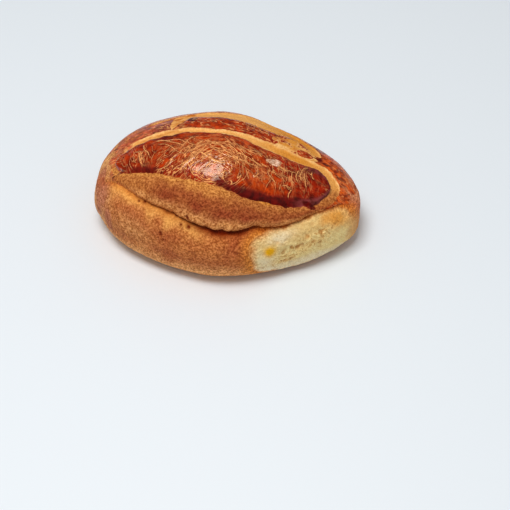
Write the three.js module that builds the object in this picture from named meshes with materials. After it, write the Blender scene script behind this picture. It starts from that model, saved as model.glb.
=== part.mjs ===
// Cheese pogaca: one oval bun of enriched dough, egg-washed, slashed lengthways and baked until
// the slashes opened. The widest one opened at the front into a matte roll that hangs over a
// crease; two narrow ones show as shallow bands along the top. It rests on its flat underside.
//
// Millimetres, Z up. X runs along the bun, the open side faces -Y, and the origin is on the
// table under the middle of the bun's box. The form is a loft: each cross-section stands square to X,
// and a point on it is named by its angle round the section, 0 at the front widest point, 90 at
// the ridge, 180 at the back widest point and 270 under the bun.
import * as THREE from 'three';

// ---- Overall form. Lists hold values at even steps along the bun, from its left tip to its right.
const LENGTH = 120.5;
const WAIST_HEIGHT = 15; // the widest level, above the table
const FRONT_REACH = [43.4, 43.9, 44.7, 40.8, 37.0]; // half width at the front, before the plan rounds it
const BACK_REACH = [42.0, 42.7, 42.5, 36.6, 31.5];
const CROWN_RISE = [33.5, 32.8, 32.0, 27.2, 26.0]; // ridge above the waist
const BELLY_DROP = 18.75; // the lower half of a full section, cut off by the table
const PLAN_ROUNDNESS = 2.13; // exponents of super-ellipses: 2 is an ellipse, more is fuller
const TOP_ROUNDNESS = 2.05;
const BELLY_ROUNDNESS = 3;
const BELLY_TAPER = 0.45; // how fast the lower half shrinks towards the tips
const FADE_ROUNDNESS = 0.35; // relief dies out where the section is narrower than this share
const FADE_HEIGHT = 7; // and within this height of the table

// ---- Where the opened slashes run, as angles round the section at nine stations
const CREASE_ANGLE = [60, 48.8, 40, 34.2, 28.7, 30, 34, 46, 60]; // under the roll
const ROLL_TOP_ANGLE = [62, 62, 61.8, 59.5, 56.5, 52, 49.8, 54, 66]; // front edge of the glazed lobe
const LOBE_BACK_ANGLE = [84, 88.5, 94.5, 96, 95.8, 93.2, 89.5, 87.5, 76]; // its back edge
const BAND_BACK_ANGLE = [88, 95.3, 101.3, 100.8, 100, 101, 100, 96.5, 90]; // back of the first band
const STRIP_BACK_ANGLE = [104, 112, 121, 116.5, 115.5, 116.5, 119.5, 98, 93]; // back of the strip behind it
const SECOND_BAND_BACK_ANGLE = [114, 120, 124, 126.5, 131, 138, 134, 120, 110];

// ---- Where they end along X, and how long each end takes to round off
const OPENING_ENDS = { left: -51.5, right: 51.5, rounding: 8 };
const LOBE_ENDS = { left: -49.5, right: 47.5, rounding: 7 };
const STRIP_ENDS = { left: -21.5, right: 37.5, rounding: 5 };
const SECOND_BAND_ENDS = { left: -39, right: 41, rounding: 8 };

// ---- Relief, square to the surface
const CREASE_DEPTH = [0, 1.3, 2.1, 2.9, 3.3, 3.0, 2.2, 1.0, 0];
const CREASE_LOWER_WIDTH = 4.2;
const CREASE_UPPER_WIDTH = 1.5;
const LIP_DROP = [0, 0.4, 1.0, 1.6, 1.8, 1.6, 1.2, 0.5, 0]; // how far the roll sags over the crease
const LIP_REACH = 2; // where above the crease it sags most
const ROLL_SWELL = [0, 1.1, 1.8, 2.0, 2.0, 1.8, 1.5, 0.8, 0];
const ROLL_FULLNESS = 0.8; // exponent of the roll's half wave: under 1 is fuller near its edges
const BELLY_SWELL = 1.2;
const BELLY_SWELL_SPAN = [-22, 2]; // measured up the section from the crease
const LOBE_SWELL = 0.9;
const LOBE_STEP = 0.5; // the glazed skin stands proud of the roll
const BAND_DEPTH = 0.7;
const BAND_START = 4; // it sinks in over this far either side of the lobe's middle line
const STRIP_STEP = 0.4;
const EDGE_WIDTH = 3.5; // over which such a step rises
const TORN_SIDE = { left: 16, right: 58, below: -26, depth: 1.1 }; // where it was pulled off a neighbour

// ---- Facets
const COLUMNS = 64;
const ROWS = { underFront: 4, wall: 14, top: 38, underBack: 5 };
const WALL_CROWDING = 1.5; // exponent that crowds the wall's rows up towards the crease
const TOP_CROWDING = { power: 1.6, share: 0.65 }; // and those above it down towards it
const ANGLE_STEP = 1.5; // of the curve that arc lengths are measured on
const STEEPEST_FOOT = 0.97; // sine of the foot's angle in the small sections near the tips
const TIP_SHIFT = 1e-4;

const radians = THREE.MathUtils.degToRad;
const { lerp, clamp } = THREE.MathUtils;

function easeBetween(low, high, value) {
  const t = clamp((value - low) / (high - low), 0, 1);
  return t * t * (3 - 2 * t);
}

// Smooth curve through a list of values at even steps; share runs from 0 to 1.
function alongBun(values, share) {
  const last = values.length - 1;
  const place = clamp(share, 0, 1) * last;
  const index = Math.min(Math.floor(place), last - 1);
  const f = place - index;
  const before = index > 0 ? values[index - 1] : 2 * values[0] - values[1];
  const after = index + 2 <= last ? values[index + 2] : 2 * values[last] - values[last - 1];
  const [a, b, c, d] = [before, values[index], values[index + 1], after];
  return b + 0.5 * f * (c - a + f * (2 * a - 5 * b + 4 * c - d + f * (3 * (b - c) + d - a)));
}

// The plain section before any relief: column runs from 0 at the left tip to 1 at the right.
function makeSection(column) {
  const turn = Math.PI * clamp(column, TIP_SHIFT, 1 - TIP_SHIFT);
  const x = (-LENGTH / 2) * Math.cos(turn);
  const share = x / LENGTH + 0.5;
  const fullness = Math.sin(turn) ** (2 / PLAN_ROUNDNESS);
  const front = alongBun(FRONT_REACH, share) * fullness;
  const back = alongBun(BACK_REACH, share) * fullness;
  const crown = alongBun(CROWN_RISE, share) * fullness;
  const belly = BELLY_DROP * fullness ** BELLY_TAPER;

  function pointAt(angle) {
    const cos = Math.cos(radians(angle));
    const sin = Math.sin(radians(angle));
    const power = 2 / (sin >= 0 ? TOP_ROUNDNESS : BELLY_ROUNDNESS);
    const y = -(cos > 0 ? front : back) * Math.sign(cos) * Math.abs(cos) ** power;
    const rise = Math.abs(sin) ** power;
    const z = sin >= 0 ? WAIST_HEIGHT + crown * rise : Math.max(0, WAIST_HEIGHT - belly * rise);
    return new THREE.Vector3(x, y, z);
  }

  const angles = [];
  const lengths = [];
  let previous = pointAt(-90);
  let length = 0;
  for (let angle = -90; angle <= 270; angle += ANGLE_STEP) {
    const point = pointAt(angle);
    length += point.distanceTo(previous);
    previous = point;
    angles.push(angle);
    lengths.push(length);
  }
  const lookUp = (from, to, value) => {
    let i = from.findIndex((entry) => entry >= value);
    i = i < 0 ? from.length - 1 : Math.max(i, 1);
    const gap = from[i] - from[i - 1];
    return gap > 0 ? lerp(to[i - 1], to[i], (value - from[i - 1]) / gap) : to[i];
  };
  const footTurn = Math.min(STEEPEST_FOOT, (WAIST_HEIGHT / belly) ** (BELLY_ROUNDNESS / 2));
  return {
    x,
    share,
    fullness,
    footAngle: THREE.MathUtils.radToDeg(Math.asin(footTurn)),
    pointAt,
    lengthAt: (angle) => lookUp(angles, lengths, angle),
    angleAt: (distance) => lookUp(lengths, angles, distance),
  };
}

// Distances round one section at which its rows of points lie, closest together at the crease.
function rowDistances(section) {
  const crease = section.lengthAt(alongBun(CREASE_ANGLE, section.share));
  const frontFoot = section.lengthAt(-section.footAngle);
  const backFoot = section.lengthAt(180 + section.footAngle);
  const stretches = [
    [section.lengthAt(-90), frontFoot, ROWS.underFront, (t) => t],
    [frontFoot, crease, ROWS.wall, (t) => 1 - (1 - t) ** WALL_CROWDING],
    [crease, backFoot, ROWS.top, (t) => lerp(t, t ** TOP_CROWDING.power, TOP_CROWDING.share)],
    [backFoot, section.lengthAt(270), ROWS.underBack, (t) => t],
  ];
  return stretches.flatMap(([start, end, count, spread]) =>
    Array.from({ length: count }, (_, row) => lerp(start, end, spread(row / count))),
  );
}

// How far inside a long patch with round ends a point lies; negative outside it.
function insidePatch(x, distance, front, back, ends) {
  const toEnd = Math.min(x - ends.left, ends.right - x);
  const offMiddle = distance - (front + back) / 2;
  if (toEnd <= 0) return -Math.hypot(toEnd, offMiddle);
  const lack = Math.max(0, 1 - toEnd / ends.rounding);
  const halfWidth = ((back - front) / 2) * Math.sqrt(1 - lack * lack);
  return halfWidth - Math.abs(offMiddle);
}

// A half wave that is 0 at both ends of a span and 1 in its middle.
function swell(value, start, end) {
  return Math.sin(Math.PI * clamp((value - start) / (end - start), 0, 1));
}

// Rise square to the surface and slip along it, for a point at a distance round a section.
function reliefAt(section, distance, height) {
  const { x, share } = section;
  const edge = (angles) => section.lengthAt(alongBun(angles, share));
  const crease = edge(CREASE_ANGLE);
  const rollTop = edge(ROLL_TOP_ANGLE);
  const lobeBack = edge(LOBE_BACK_ANGLE);
  const bandBack = edge(BAND_BACK_ANGLE);
  const stripBack = edge(STRIP_BACK_ANGLE);
  const secondBack = edge(SECOND_BAND_BACK_ANGLE);
  const aboveCrease = distance - crease;

  const opening = insidePatch(x, distance, crease, bandBack, OPENING_ENDS);
  const lobe = insidePatch(x, distance, rollTop, lobeBack, LOBE_ENDS);
  const strip = insidePatch(x, distance, bandBack, stripBack, STRIP_ENDS);
  const secondBand = insidePatch(x, distance, stripBack, secondBack, SECOND_BAND_ENDS);
  const creaseWidth = aboveCrease < 0 ? CREASE_LOWER_WIDTH : CREASE_UPPER_WIDTH;

  let rise = -alongBun(CREASE_DEPTH, share) * Math.exp(-((aboveCrease / creaseWidth) ** 2));
  rise += alongBun(ROLL_SWELL, share) * swell(distance, crease, rollTop) ** ROLL_FULLNESS;
  rise += BELLY_SWELL * swell(aboveCrease, ...BELLY_SWELL_SPAN);
  rise += LOBE_SWELL * swell(distance, rollTop, lobeBack) * easeBetween(0, EDGE_WIDTH, lobe);
  rise += LOBE_STEP * easeBetween(0, EDGE_WIDTH, lobe);
  const lobeMiddle = (rollTop + lobeBack) / 2;
  const pastLobe = easeBetween(-BAND_START, BAND_START, distance - lobeMiddle);
  rise -= pastLobe * BAND_DEPTH * easeBetween(0, EDGE_WIDTH, Math.min(opening, -lobe));
  rise += STRIP_STEP * easeBetween(0, EDGE_WIDTH, strip);
  rise -= BAND_DEPTH * easeBetween(0, EDGE_WIDTH, secondBand);
  const tornAlong = swell(x, TORN_SIDE.left, TORN_SIDE.right);
  rise -= TORN_SIDE.depth * tornAlong * swell(aboveCrease, TORN_SIDE.below, 0);

  const lip = Math.max(aboveCrease, 0) / LIP_REACH;
  const slip = -alongBun(LIP_DROP, share) * lip * Math.exp(1 - lip);
  const fade = easeBetween(0, FADE_ROUNDNESS, section.fullness) * easeBetween(0, FADE_HEIGHT, height);
  return { rise: rise * fade, slip: slip * fade };
}

function bunGeometry() {
  const rowCount = ROWS.underFront + ROWS.wall + ROWS.top + ROWS.underBack;
  const sections = Array.from({ length: COLUMNS + 1 }, (_, i) => makeSection(i / COLUMNS));
  const distances = sections.map(rowDistances);
  const plain = sections.map((section, i) => distances[i].map((d) => section.pointAt(section.angleAt(d))));
  const wrap = (row) => (row + rowCount) % rowCount;

  const positions = [];
  const addPoint = (point) => positions.push(point.x, point.y, point.z);
  addPoint(new THREE.Vector3(-LENGTH / 2, 0, WAIST_HEIGHT));
  for (let i = 1; i < COLUMNS; i++) {
    for (let row = 0; row < rowCount; row++) {
      const along = plain[i + 1][row].clone().sub(plain[i - 1][row]);
      const round = plain[i][wrap(row + 1)].clone().sub(plain[i][wrap(row - 1)]).normalize();
      const outward = new THREE.Vector3().crossVectors(along, round).normalize();
      const point = plain[i][row].clone();
      const { rise, slip } = reliefAt(sections[i], distances[i][row], point.z);
      point.addScaledVector(outward, rise).addScaledVector(round, slip);
      addPoint(point);
    }
  }
  addPoint(new THREE.Vector3(LENGTH / 2, 0, WAIST_HEIGHT));

  const vertex = (i, row) => 1 + (i - 1) * rowCount + wrap(row);
  const rightTip = 1 + (COLUMNS - 1) * rowCount;
  const triangles = [];
  for (let row = 0; row < rowCount; row++) {
    triangles.push(0, vertex(1, row), vertex(1, row + 1));
    for (let i = 1; i < COLUMNS - 1; i++) {
      const [a, b] = [vertex(i, row), vertex(i + 1, row)];
      const [c, d] = [vertex(i + 1, row + 1), vertex(i, row + 1)];
      triangles.push(a, b, c, a, c, d);
    }
    triangles.push(rightTip, vertex(COLUMNS - 1, row + 1), vertex(COLUMNS - 1, row));
  }
  const geometry = new THREE.BufferGeometry();
  geometry.setAttribute('position', new THREE.Float32BufferAttribute(positions, 3));
  geometry.setIndex(triangles);
  geometry.computeBoundingBox();
  const middle = geometry.boundingBox.getCenter(new THREE.Vector3());
  geometry.translate(-middle.x, -middle.y, 0);
  geometry.computeVertexNormals();
  return geometry;
}

const bakedCrust = new THREE.MeshStandardMaterial({ color: '#b5692f', roughness: 0.55, metalness: 0 });
const bun = new THREE.Mesh(bunGeometry(), bakedCrust);
bun.name = 'pogaca_bun';

const pogaca = new THREE.Group();
pogaca.add(bun);

export default pogaca;
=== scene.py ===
# Cheese pogaca: one oval bun of enriched dough, brushed with egg, slashed lengthways and baked.
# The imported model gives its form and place; this script gives it its crust, glaze and torn side.
import math
from types import SimpleNamespace as Sizes

import bpy
import numpy as np
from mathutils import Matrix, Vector
from mathutils.kdtree import KDTree


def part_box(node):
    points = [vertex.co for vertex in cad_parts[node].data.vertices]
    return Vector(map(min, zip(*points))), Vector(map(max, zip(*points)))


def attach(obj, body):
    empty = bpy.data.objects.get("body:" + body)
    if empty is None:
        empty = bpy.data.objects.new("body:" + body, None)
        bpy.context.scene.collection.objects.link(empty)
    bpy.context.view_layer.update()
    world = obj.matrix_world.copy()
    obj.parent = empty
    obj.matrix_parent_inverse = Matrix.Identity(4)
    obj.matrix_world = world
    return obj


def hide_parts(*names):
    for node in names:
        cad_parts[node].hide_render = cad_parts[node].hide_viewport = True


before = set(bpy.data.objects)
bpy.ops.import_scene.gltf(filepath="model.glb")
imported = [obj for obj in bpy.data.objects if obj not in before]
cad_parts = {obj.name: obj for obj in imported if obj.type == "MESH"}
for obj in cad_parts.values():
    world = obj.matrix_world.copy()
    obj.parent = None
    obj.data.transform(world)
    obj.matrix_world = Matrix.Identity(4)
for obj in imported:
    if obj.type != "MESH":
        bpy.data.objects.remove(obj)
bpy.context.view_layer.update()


# ---------- Risen dough
# The bun is one lump of enriched dough, oval in plan and domed, flat where it lay on the tray.
# Its form is a loft of sections square to X, in millimetres. A point on a section is named by an
# angle, 0 at the front widest, 90 at the ridge, 180 at the back, or by its distance round it.
MM = 0.001
BUN_LENGTH = 120.5
WAIST_HEIGHT = 15.0
FRONT_REACH = (43.4, 43.9, 44.7, 40.8, 37.0)
BACK_REACH = (42.0, 42.7, 42.5, 36.6, 31.5)
CROWN_RISE = (33.5, 32.8, 32.0, 27.2, 26.0)
BELLY_DROP = 18.75
PLAN_ROUNDNESS = 2.13
TOP_ROUNDNESS = 2.05
BELLY_ROUNDNESS = 3.0
BELLY_TAPER = 0.45
SECTION_ANGLES = np.arange(-90.0, 271.0)
TIP_GAP = 1e-4


def along_bun(values, share):
    """A smooth curve through values at even steps; share is 0 at the left tip and 1 at the right."""
    values = np.asarray(values, float)
    last = len(values) - 1
    place = np.clip(share, 0, 1) * last
    index = np.minimum(place.astype(int), last - 1)
    f = place - index
    padded = np.concatenate([[2 * values[0] - values[1]], values, [2 * values[-1] - values[-2]]])
    a, b, c, d = (padded[index + k] for k in range(4))
    return b + 0.5 * f * (c - a + f * (2 * a - 5 * b + 4 * c - d + f * (3 * (b - c) + d - a)))


def points_at(dough, angles):
    """Points of the plain dough, a row of them for each section."""
    cos, sin = np.cos(np.radians(angles)), np.sin(np.radians(angles))
    power = 2 / np.where(sin >= 0, TOP_ROUNDNESS, BELLY_ROUNDNESS)
    y = -np.where(cos > 0, dough.front, dough.back) * np.sign(cos) * np.abs(cos) ** power
    rise = np.abs(sin) ** power
    z = np.where(sin >= 0, WAIST_HEIGHT + dough.crown * rise, WAIST_HEIGHT - dough.belly * rise)
    return np.stack([dough.x + 0 * y, y, np.maximum(z, 0)], axis=-1)


def slice_dough(turns):
    """Sections of the plain dough: turn 0 is at the left tip, 0.5 at the middle, 1 at the right."""
    turn = np.pi * np.clip(turns, TIP_GAP, 1 - TIP_GAP)[:, None]
    x = -BUN_LENGTH / 2 * np.cos(turn)
    share = x / BUN_LENGTH + 0.5
    fullness = np.sin(turn) ** (2 / PLAN_ROUNDNESS)
    dough = Sizes(
        x=x,
        share=share,
        fullness=fullness,
        front=along_bun(FRONT_REACH, share) * fullness,
        back=along_bun(BACK_REACH, share) * fullness,
        crown=along_bun(CROWN_RISE, share) * fullness,
        belly=BELLY_DROP * fullness**BELLY_TAPER,
    )
    outline = points_at(dough, SECTION_ANGLES)
    steps = np.linalg.norm(np.diff(outline, axis=1), axis=2)
    dough.lengths = np.concatenate([np.zeros((len(turns), 1)), np.cumsum(steps, axis=1)], axis=1)
    return dough


def distance_at(dough, angles):
    """Distance round each section, from underneath up the front, of the point at an angle."""
    angles = np.broadcast_to(angles, dough.x.shape)
    return np.array([np.interp(a, SECTION_ANGLES, row) for a, row in zip(angles, dough.lengths)])


def angle_at(dough, distances):
    return np.array([np.interp(d, row, SECTION_ANGLES) for d, row in zip(distances, dough.lengths)])


# ---------- Slashes that opened in the oven
# The baker slashed the dough lengthways. The widest slash opened into a matte roll that hangs over
# a crease, with the glazed lobe behind it; two narrow slashes show as pale bands along the top.
# Nine stations along the bun give the angle of each edge.
EDGE_ANGLES = {
    "crease": (60, 48.8, 40, 34.2, 28.7, 30, 34, 46, 60),
    "roll_top": (62, 62, 61.8, 59.5, 56.5, 52, 49.8, 54, 66),
    "lobe_back": (84, 88.5, 94.5, 96, 95.8, 93.2, 89.5, 87.5, 76),
    "band_back": (88, 95.3, 101.3, 100.8, 100, 101, 100, 96.5, 90),
    "strip_back": (104, 112, 121, 116.5, 115.5, 116.5, 119.5, 98, 93),
    "second_back": (114, 120, 124, 126.5, 131, 138, 134, 120, 110),
}
OPENING_ENDS = Sizes(left=-51.5, right=51.5, rounding=8.0)
LOBE_ENDS = Sizes(left=-49.5, right=47.5, rounding=7.0)
STRIP_ENDS = Sizes(left=-21.5, right=37.5, rounding=5.0)
SECOND_BAND_ENDS = Sizes(left=-39.0, right=41.0, rounding=8.0)
CREASE_DEPTH = (0, 1.3, 2.1, 2.9, 3.3, 3.0, 2.2, 1.0, 0)
CREASE_LOWER_WIDTH = 4.2
CREASE_UPPER_WIDTH = 1.5
LIP_DROP = (0, 0.4, 1.0, 1.6, 1.8, 1.6, 1.2, 0.5, 0)
LIP_REACH = 2.0
ROLL_SWELL = (0, 1.1, 1.8, 2.0, 2.0, 1.8, 1.5, 0.8, 0)
ROLL_FULLNESS = 0.8
BELLY_SWELL = 1.2
BELLY_SWELL_SPAN = (-22, 2)
LOBE_SWELL = 0.9
LOBE_STEP = 0.5
BAND_DEPTH = 0.7
BAND_START = 4.0
STRIP_STEP = 0.4
CUT_EDGE = 1.4


def ease(low, high, value):
    """A smooth rise from 0 at low to 1 at high."""
    t = np.clip((value - low) / (high - low), 0, 1)
    return t * t * (3 - 2 * t)


def half_wave(value, start, end):
    """0 at both ends of a span and 1 in its middle."""
    return np.sin(np.pi * np.clip((value - start) / (end - start), 0, 1))


def inside_patch(x, distance, front, back, ends):
    """How far inside a long patch with round ends a point lies; negative outside it."""
    to_end = np.minimum(x - ends.left, ends.right - x)
    lack = np.clip(1 - to_end / ends.rounding, 0, 1)
    half_width = (back - front) / 2 * np.sqrt(np.clip(1 - lack * lack, 0, 1))
    off_middle = distance - (front + back) / 2
    return np.where(to_end <= 0, -np.hypot(to_end, off_middle), half_width - np.abs(off_middle))


def mark_slashes(dough):
    """Distances round each section of the edges that the slashes left."""
    edges = {name: along_bun(angles, dough.share) for name, angles in EDGE_ANGLES.items()}
    return Sizes(**{name: distance_at(dough, angles) for name, angles in edges.items()})


def open_slashes(dough, cut, x, distance):
    """Patches of the opened top, as distances inside each, and the relief that they leave."""
    above = distance - cut.crease
    opened = Sizes(
        above=above,
        opening=inside_patch(x, distance, cut.crease, cut.band_back, OPENING_ENDS),
        lobe=inside_patch(x, distance, cut.roll_top, cut.lobe_back, LOBE_ENDS),
        strip=inside_patch(x, distance, cut.band_back, cut.strip_back, STRIP_ENDS),
        second=inside_patch(x, distance, cut.strip_back, cut.second_back, SECOND_BAND_ENDS),
    )
    crease_width = np.where(above < 0, CREASE_LOWER_WIDTH, CREASE_UPPER_WIDTH)
    rise = -along_bun(CREASE_DEPTH, dough.share) * np.exp(-((above / crease_width) ** 2))
    on_roll = half_wave(distance, cut.crease, cut.roll_top) ** ROLL_FULLNESS
    rise = rise + along_bun(ROLL_SWELL, dough.share) * on_roll
    rise += BELLY_SWELL * half_wave(above, *BELLY_SWELL_SPAN)
    on_lobe = ease(0, CUT_EDGE, opened.lobe)
    rise += (LOBE_SWELL * half_wave(distance, cut.roll_top, cut.lobe_back) + LOBE_STEP) * on_lobe
    past_lobe = ease(-BAND_START, BAND_START, distance - (cut.roll_top + cut.lobe_back) / 2)
    rise -= past_lobe * BAND_DEPTH * ease(0, CUT_EDGE, np.minimum(opened.opening, -opened.lobe))
    rise += STRIP_STEP * ease(0, CUT_EDGE, opened.strip)
    rise -= BAND_DEPTH * ease(0, CUT_EDGE, opened.second)
    lip = np.maximum(above, 0) / LIP_REACH
    opened.rise = rise
    opened.slip = -along_bun(LIP_DROP, dough.share) * lip * np.exp(1 - lip)
    return opened


# ---------- Grid of the crust
# The crust is one closed skin: columns of points stand along the bun, evenly along its ridge, and
# each runs once round its section, closest together where the glaze and the crease are.
COLUMNS = 371
STRETCHES = (  # rows between two edges, and how strongly they crowd towards the second or the first
    ("under", "front_foot", 7, 1.0),
    ("front_foot", "crease", 42, -1.5),
    ("crease", "roll_top", 38, 1.3),
    ("roll_top", "lobe_back", 90, 1.0),
    ("lobe_back", "second_back", 46, 1.0),
    ("second_back", "back_foot", 32, 1.0),
    ("back_foot", "under_again", 7, 1.0),
)
RIDGE_ANGLE = 90.0
STEEPEST_FOOT = 0.97  # sine of the foot's angle in the small sections near the tips
FINE_TURNS = 4001
SHORTEST = 1e-9  # keeps a direction from being divided by nothing


def even_turns(count):
    """Turns at which the sections stand evenly along the ridge, both tips among them."""
    fine = np.linspace(0, 1, FINE_TURNS)
    ridge = points_at(slice_dough(fine), RIDGE_ANGLE)[:, 0]
    run = np.concatenate([[0], np.cumsum(np.linalg.norm(np.diff(ridge, axis=0), axis=1))])
    return np.interp(np.linspace(0, run[-1], count), run, fine)


def lay_rows(dough, cut):
    """Distances round each section at which its points lie."""
    foot_sine = np.minimum(STEEPEST_FOOT, (WAIST_HEIGHT / dough.belly) ** (BELLY_ROUNDNESS / 2))
    foot = np.degrees(np.arcsin(foot_sine))
    marks = dict(vars(cut))
    marks.update(
        under=distance_at(dough, SECTION_ANGLES[0]),
        front_foot=distance_at(dough, -foot),
        back_foot=distance_at(dough, 180 + foot),
        under_again=distance_at(dough, SECTION_ANGLES[-1]),
    )
    rows = []
    for start, end, count, crowd in STRETCHES:
        t = np.arange(count) / count
        spread = t**crowd if crowd > 0 else 1 - (1 - t) ** -crowd
        rows.append(marks[start] + (marks[end] - marks[start]) * spread)
    return np.concatenate(rows, axis=1)


turns = even_turns(COLUMNS)
dough = slice_dough(turns)
cut = mark_slashes(dough)
distance = lay_rows(dough, cut)
plain = points_at(dough, angle_at(dough, distance))
ROWS = distance.shape[1]
x = plain[..., 0]
height = plain[..., 2]
across = distance - distance_at(dough, RIDGE_ANGLE)


def unit(vectors):
    return vectors / np.maximum(np.linalg.norm(vectors, axis=-1, keepdims=True), SHORTEST)


def directions(points):
    """Outward normals and tangents round the section of a grid of points."""
    along = np.gradient(points, axis=0)
    rounding = np.roll(points, -1, axis=1) - np.roll(points, 1, axis=1)
    return unit(np.cross(along, rounding)), unit(rounding)


outward, upward = directions(plain)


# ---------- Uneven dough
# No hand-shaped bun is even: it bulges a little here and there, its cut edges wander, and the crust
# has a grain. All of it comes from lattices of seeded random values, blended smoothly between.
LATTICE = 32
FAR_CELLS = 1000 * LATTICE  # keeps every cell number positive
BULGES = ((15.0, 0.42), (6.5, 0.16))
CRUST_GRAIN = ((1.9, 0.07), (1.05, 0.07))
EDGE_WANDER = ((9.0, 0.55), (3.2, 0.5), (1.4, 0.3))
NOTCH = Sizes(x=16.5, width=3.6, height=1.5)  # where the roll's lip is nicked


def lumps(points, size, seed):
    """Smooth random values from -1 to 1 at points, in lumps about size mm across."""
    table = np.random.default_rng(seed).uniform(-1, 1, (LATTICE,) * 3)
    place = np.asarray(points, float) / size + FAR_CELLS
    cell = np.floor(place).astype(int)
    f = place - cell
    f = f * f * (3 - 2 * f)
    value = 0
    for corner in range(8):
        step = np.array([corner & 1, corner >> 1 & 1, corner >> 2 & 1])
        weight = np.prod(np.where(step, f, 1 - f), axis=-1)
        i, j, k = np.moveaxis((cell + step) % LATTICE, -1, 0)
        value = value + weight * table[i, j, k]
    return value


def rough(points, layers, seed):
    """Lumps of several sizes added up; each layer is a size and a height in mm."""
    return sum(high * lumps(points, size, seed + n) for n, (size, high) in enumerate(layers))


wander_x = rough(plain, EDGE_WANDER, 11)
wander_up = rough(plain, EDGE_WANDER, 21)
cut.crease = cut.crease + NOTCH.height * np.exp(-(((dough.x - NOTCH.x) / NOTCH.width) ** 2))
opened = open_slashes(dough, cut, x + wander_x, distance + wander_up)
above = opened.above


def spot(centre_x, centre_up, reach_x, reach_up, up=across):
    """A soft round patch, placed in mm along the bun and across it from the ridge or another line."""
    return np.exp(-(((x - centre_x) / reach_x) ** 2) - ((up - centre_up) / reach_up) ** 2)


# ---------- Torn side
# The bun baked against its neighbour here and was pulled off it, which left a flat pale face of
# bare crumb with torn fibres and pores, and an orange rim where the crust starts again.
TORN_SPAN = (16.0, 58.0)
TORN_BELOW = -26.0
TORN_DEPTH = 1.1
TORN_MIDDLE = Sizes(x=37.5, above=-14.6)
TORN_REACH = Sizes(x=21.5, above=14.4)
TORN_CORNERS = 3.2
TORN_FADE = (0.78, 1.06)
TORN_RAGS = ((5.0, 0.07), (2.0, 0.03))
TORN_CRUMB = ((3.6, 0.34), (1.7, 0.26), (0.95, 0.16))
CRUMB_STRETCH = (0.6, 1, 1.6)
PORES = Sizes(stretch=(0.7, 1, 1.3), size=2.1, fine_size=1.1, fine=0.4, level=0.25, depth=0.9)

torn_dent = half_wave(x, *TORN_SPAN) * half_wave(above, TORN_BELOW, 0)
torn_radius = (
    np.abs((x - TORN_MIDDLE.x) / TORN_REACH.x) ** TORN_CORNERS
    + np.abs((above - TORN_MIDDLE.above) / TORN_REACH.above) ** TORN_CORNERS
) ** (1 / TORN_CORNERS)
torn = 1 - ease(*TORN_FADE, torn_radius + rough(plain, TORN_RAGS, 31))
pores = lumps(plain * PORES.stretch, PORES.size, 35) + PORES.fine * lumps(plain, PORES.fine_size, 36)
pores = np.maximum(pores - PORES.level, 0)
torn_relief = rough(plain * CRUMB_STRETCH, TORN_CRUMB, 33) - PORES.depth * pores


# ---------- Cracks in the glaze
# The egg dried to a film that crazed as the dough rose under it. Pale wrinkled cracks run along the
# bun, fan out at its right and cross in a knot near its middle, each a thread between two grooves.
CRACK_FANS = (  # count, middle x and across from the ridge, spread, heading in degrees, length, bow
    (6, -21.5, -15.0, 6.0, 40, 13.0, -0.4),
    (4, -24.0, -5.0, 4.5, 158, 14.0, -1.8),
    (6, -37.0, -9.0, 6.5, 112, 8.0, 0.5),
    (5, -14.5, -7.5, 5.5, 47, 12.0, 0.3),
    (3, 2.5, -18.0, 3.2, 100, 7.5, 1.6),
    (3, 12.5, -17.0, 4.2, 105, 5.5, 0.3),
    (8, 31.0, -9.5, 11.0, 106, 7.5, 1.2),
    (6, 22.0, -17.0, 8.5, 84, 5.5, 0.2),
    (2, 34.5, -9.0, 0.9, 98, 14.0, 2.6),
    (1, 11.0, 15.0, 0.0, 72, 7.0, 1.0),
    (1, 16.3, 13.0, 0.0, 115, 6.0, -0.8),
)
CROSS_FANS = (
    (6, -15.5, -5.5, 6.5, 142, 11.0, 0.4),
    (6, -2.5, -9.5, 6.0, 170, 15.0, 1.6),
    (3, -4.0, -2.6, 2.6, 157, 11.0, 0.3),
    (7, 9.5, -8.0, 6.0, 166, 16.0, 0.4),
    (4, 25.0, -3.0, 5.0, 154, 11.0, 0.5),
    (3, 27.0, -12.0, 7.5, 24, 4.5, 0.6),
    (3, -31.0, -9.0, 6.0, 96, 7.0, 0.2),
    (2, -36.0, -8.0, 4.0, 12, 6.0, 0.2),
    (3, 5.0, 19.0, 3.0, 2, 12.0, 0.2),
    (6, -18.0, 34.0, 9.0, 4, 12.0, 0.6),
    (6, 12.0, 36.0, 9.0, 174, 12.0, -0.6),
)
CRACK_SCATTER = 6.0  # degrees
CRACK_JITTER = 0.35  # of the gap between two cracks
CRACK_LENGTHS = (0.55, 1.25)  # of the fan's length, as is the shove
CRACK_SHOVE = 0.3
CRACK_HALF_WIDTH = (0.07, 0.19)
CRACK_TAPER = 9.0
CRACK_SWAY = 0.11
SWAY_KEPT = 0.92
CRACK_STEP = 0.25
FEWEST_STEPS = 4
FORK_CHANCE = 0.3
FORK_TURN = (25.0, 50.0)
FORK_PLACE = (0.25, 0.7)
FORK_SIZE = Sizes(length=0.45, width=0.8)
NO_CRACK = 9.0
THREAD = Sizes(width=0.33, height=0.14, full_half_width=0.2, reach=1.4)
GROOVE = Sizes(beside=0.8, width=0.4, depth=0.55)


def heading_of(degrees):
    return np.array([math.cos(math.radians(degrees)), math.sin(math.radians(degrees))])


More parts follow.
